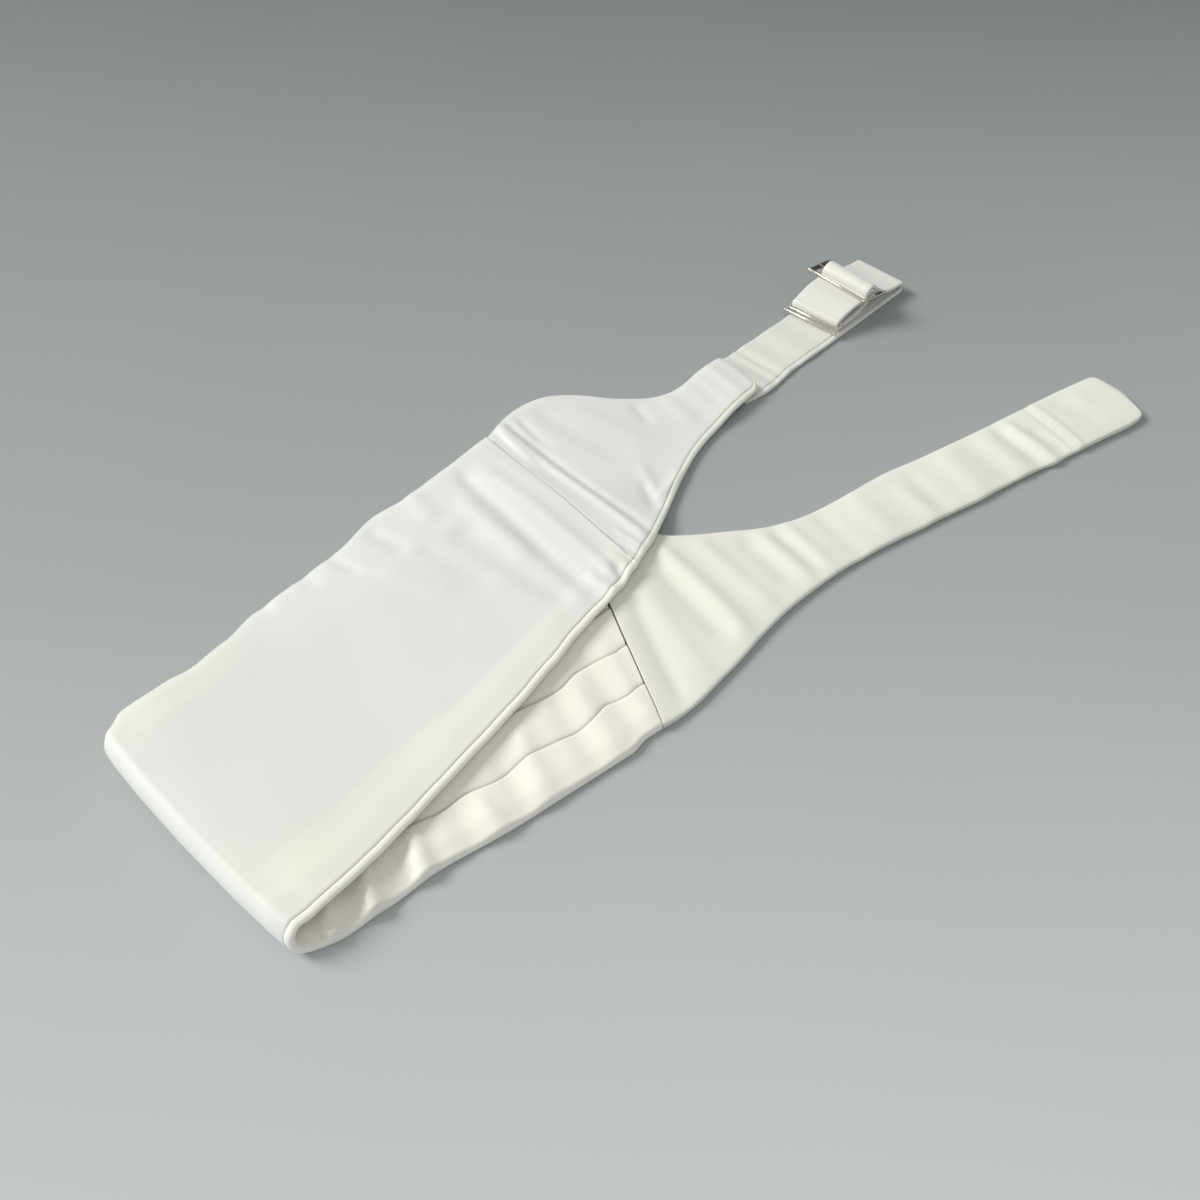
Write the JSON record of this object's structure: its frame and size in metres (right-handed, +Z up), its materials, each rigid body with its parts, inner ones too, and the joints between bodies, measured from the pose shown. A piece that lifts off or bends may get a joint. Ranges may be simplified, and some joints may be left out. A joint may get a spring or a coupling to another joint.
{
  "type": "cummerbund",
  "caption": "Pleated satin cummerbund folded in half on a table, plain back outside, with a tail at one end and an adjuster strap with slide and clasp at the other.",
  "frame": {"origin": "middle of the garment's base, on the table that it lies on", "axes": "+X from the fold towards the strap and the tail, +Z up from the table, +Y from the lower half's open edge towards the upper half's far edge"},
  "size_m": [0.504, 0.232, 0.0194],
  "materials": {
    "satin_back": "soft white satin",
    "satin_front": "warm white satin",
    "satin_band": "soft white satin",
    "satin_strap": "white satin, pressed flat",
    "polished_metal": "polished"
  },
  "bodies": {
    "root": {"back_panel": "satin_back", "pleated_front": "satin_front", "upper_band_back": "satin_band", "upper_band_front": "satin_band", "lower_band_back": "satin_band", "lower_band_front": "satin_band", "adjuster_strap": "satin_strap", "slide_adjuster": "polished_metal", "clasp": "polished_metal"}
  },
  "joints": []
}
